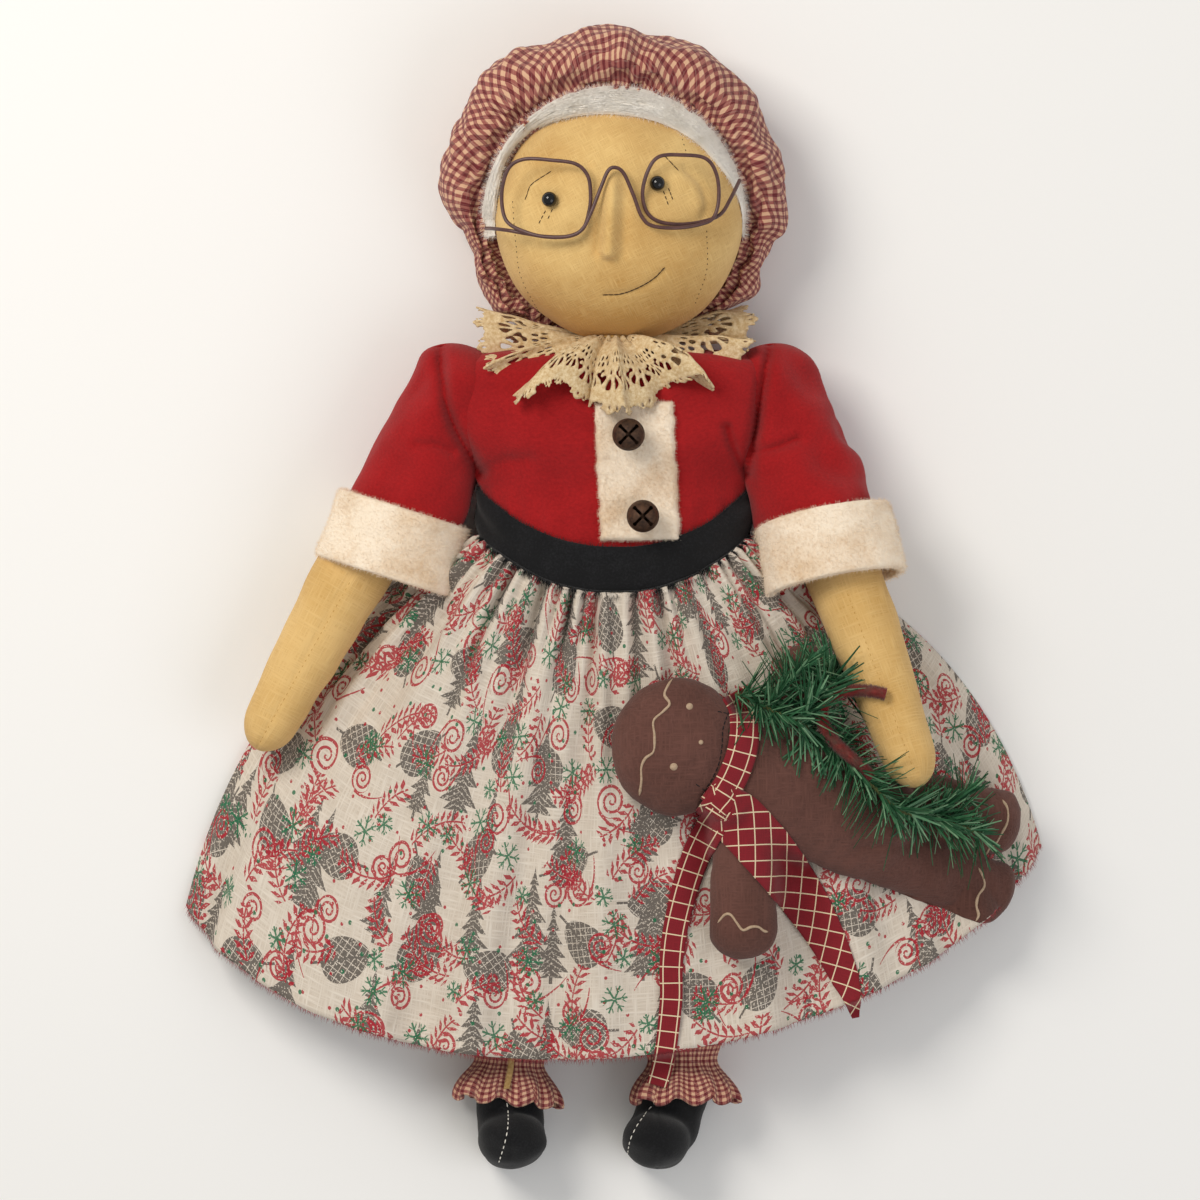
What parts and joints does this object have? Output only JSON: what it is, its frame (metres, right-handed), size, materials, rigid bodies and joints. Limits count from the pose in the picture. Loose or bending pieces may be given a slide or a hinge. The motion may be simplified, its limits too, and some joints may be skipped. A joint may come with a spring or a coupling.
{
  "type": "rag doll",
  "caption": "Stuffed cloth grandmother doll in a mob cap, wire spectacles and long printed skirt, holding a gingerbread man and a pine garland",
  "frame": {"origin": "on the flat back of the skirt, on the line through the head and between the feet, 17 mm below the side of the waist", "axes": "+X to the doll's left side, +Y to the top of the head, +Z out of the chest; the doll lies on its back on the plane Z=0"},
  "size_m": [0.3622, 0.4838, 0.088],
  "materials": {
    "muslin": "tea-dyed woven cotton, matt",
    "red_flannel": "brushed flannel, matt",
    "cream_fleece": "stained fleece, matt",
    "black_cloth": "felted black cotton, matt",
    "print_linen": "cream linen with a printed winter pattern",
    "cotton_lace": "aged cotton lace",
    "rusted_tin": "rusted dark brown",
    "white_fleece": "off-white fleece",
    "gingham": "burgundy and tan woven check",
    "black_bead": "glossy black",
    "brown_wire": "brown coated wire",
    "brown_cotton": "dyed brown cotton",
    "plaid_ribbon": "burgundy ribbon with a fine cream grid",
    "tan_ribbon": "tan ribbon",
    "chenille": "variegated chenille pile",
    "pine_needles": "cut green film"
  },
  "bodies": {
    "root": {"torso": "muslin", "bodice": "red_flannel", "placket": "cream_fleece", "belt": "black_cloth", "skirt_front": "print_linen", "skirt_back": "print_linen", "collar_lace": "cotton_lace"},
    "bell_upper": {"bell_upper": "rusted_tin", "bell_pea_upper": "rusted_tin"},
    "bell_lower": {"bell_lower": "rusted_tin", "bell_pea_lower": "rusted_tin"},
    "head": {"head": "muslin", "hair": "white_fleece", "cap": "gingham", "eye_right": "black_bead", "eye_left": "black_bead", "glasses": "brown_wire"},
    "arm_right": {"arm_right": "muslin", "sleeve_right": "red_flannel", "cuff_right": "cream_fleece"},
    "arm_left": {"arm_left": "muslin", "sleeve_left": "red_flannel", "cuff_left": "cream_fleece", "ginger_head": "brown_cotton", "ginger_body": "brown_cotton", "ginger_leg_lower": "brown_cotton", "ginger_leg_upper": "brown_cotton", "ginger_arm_lower": "brown_cotton", "ginger_arm_upper": "brown_cotton", "scarf_band": "plaid_ribbon", "scarf_knot": "plaid_ribbon", "scarf_tail_long": "plaid_ribbon", "scarf_tail_wide": "plaid_ribbon", "chenille_stem": "chenille", "sprig_1": "pine_needles", "sprig_2": "pine_needles", "sprig_3": "pine_needles"},
    "leg_right": {"leg_right": "muslin", "boot_right": "black_cloth", "pantaloon_right": "gingham", "ribbon_end": "tan_ribbon"},
    "leg_left": {"leg_left": "muslin", "boot_left": "black_cloth", "pantaloon_left": "gingham"}
  },
  "joints": [
    {"name": "head_turn", "type": "hinge", "parent": "root", "child": "head", "pos_m": [0, 0.104, 0.044], "axis": [0, 1, 0], "range_deg": [-25, 25]},
    {"name": "arm_right_swing", "type": "hinge", "parent": "root", "child": "arm_right", "pos_m": [-0.066, 0.087, 0.031], "axis": [-1, 0, 0], "range_deg": [0, 120]},
    {"name": "arm_left_swing", "type": "hinge", "parent": "root", "child": "arm_left", "pos_m": [0.066, 0.087, 0.031], "axis": [-1, 0, 0], "range_deg": [0, 100]},
    {"name": "leg_right_splay", "type": "hinge", "parent": "root", "child": "leg_right", "pos_m": [-0.027, -0.017, 0.018], "axis": [0, 0, 1], "range_deg": [-10, 5]},
    {"name": "leg_left_splay", "type": "hinge", "parent": "root", "child": "leg_left", "pos_m": [0.027, -0.017, 0.018], "axis": [0, 0, 1], "range_deg": [-3, 10]},
    {"name": "bell_upper_rock", "type": "hinge", "parent": "root", "child": "bell_upper", "pos_m": [0.006, 0.069, 0.0676], "axis": [1, 0, 0], "range_deg": [-12, 20]},
    {"name": "bell_lower_rock", "type": "hinge", "parent": "root", "child": "bell_lower", "pos_m": [0.012, 0.035, 0.0628], "axis": [1, 0, 0], "range_deg": [-20, 20]}
  ]
}
